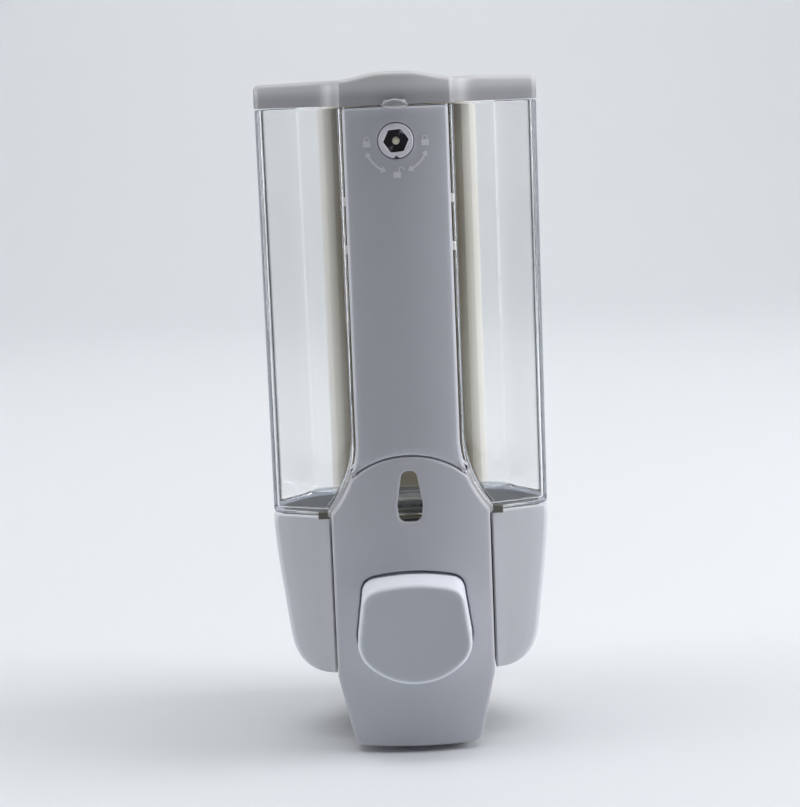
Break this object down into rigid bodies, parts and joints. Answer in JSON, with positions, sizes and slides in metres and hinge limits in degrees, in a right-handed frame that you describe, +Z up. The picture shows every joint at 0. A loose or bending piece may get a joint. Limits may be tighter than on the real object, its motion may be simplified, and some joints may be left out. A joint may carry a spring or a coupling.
{
  "type": "wall mounted soap dispenser",
  "caption": "Upright wall soap dispenser with a clear tank, lockable hinged lid, grey base and front push button driving a piston pump; it hangs on a screwed wall plate.",
  "frame": {"origin": "centre of the wall plate's back face, on the wall", "axes": "+Z up, +Y into the wall, -Y towards the user, +X to the user's right"},
  "size_m": [0.088, 0.0958, 0.2125],
  "materials": {
    "white_plastic": "satin moulded",
    "clear_plastic": "clear, polished",
    "grey_plastic": "satin moulded",
    "button_plastic": "satin moulded",
    "lock_plastic": "satin moulded",
    "pin_plastic": "satin moulded",
    "natural_plastic": "natural, slightly waxy",
    "black_rubber": "matt",
    "steel": "bright stainless"
  },
  "bodies": {
    "wall": {"wall_plate": "white_plastic"},
    "dispenser": {"back_frame": "white_plastic", "tank": "clear_plastic", "base_housing": "grey_plastic", "front_column": "grey_plastic", "front_panel": "grey_plastic", "hinge_pin": "steel", "pump_body": "natural_plastic", "pump_cap": "natural_plastic", "outlet_nut": "natural_plastic", "tank_gasket": "black_rubber", "inlet_cage": "natural_plastic", "nozzle_tip": "natural_plastic", "return_spring": "steel", "inlet_spring": "steel", "outlet_spring": "steel", "frame_screw_1": "steel", "frame_screw_2": "steel", "frame_screw_3": "steel", "frame_screw_4": "steel", "panel_screw_1": "steel", "panel_screw_2": "steel"},
    "lid": {"lid": "grey_plastic"},
    "button": {"push_button": "button_plastic", "plunger": "natural_plastic", "piston_seal": "black_rubber"},
    "lock": {"lock_cylinder": "lock_plastic", "lock_pin": "pin_plastic", "lock_cam": "steel", "cam_pin_1": "steel", "cam_pin_2": "steel", "cam_screw": "steel"},
    "inlet_valve": {"inlet_ball": "steel"},
    "outlet_valve": {"outlet_ball": "steel"}
  },
  "joints": [
    {"name": "lift_off", "type": "slide", "parent": "wall", "child": "dispenser", "axis": [0, 0, 1], "range_m": [0, 0.009]},
    {"name": "lid_hinge", "type": "hinge", "parent": "dispenser", "child": "lid", "pos_m": [0, -0.0095, 0.0975], "axis": [-1, 0, 0], "range_deg": [0, 90]},
    {"name": "button_press", "type": "slide", "parent": "dispenser", "child": "button", "axis": [0, 1, 0], "range_m": [0, 0.0075], "stiffness_N_per_m": 400, "springref_m": -0.004, "deforming": ["return_spring"]},
    {"name": "lock_turn", "type": "hinge", "parent": "dispenser", "child": "lock", "pos_m": [0, -0.08, 0.084], "axis": [0, -1, 0], "range_deg": [-72, 72]},
    {"name": "inlet_lift", "type": "slide", "parent": "dispenser", "child": "inlet_valve", "axis": [0, 0, -1], "range_m": [0, 0.0013], "stiffness_N_per_m": 20, "springref_m": -0.002, "deforming": ["inlet_spring"]},
    {"name": "outlet_lift", "type": "slide", "parent": "dispenser", "child": "outlet_valve", "axis": [0, 0, -1], "range_m": [0, 0.0013], "stiffness_N_per_m": 20, "springref_m": -0.002, "deforming": ["outlet_spring"]}
  ]
}
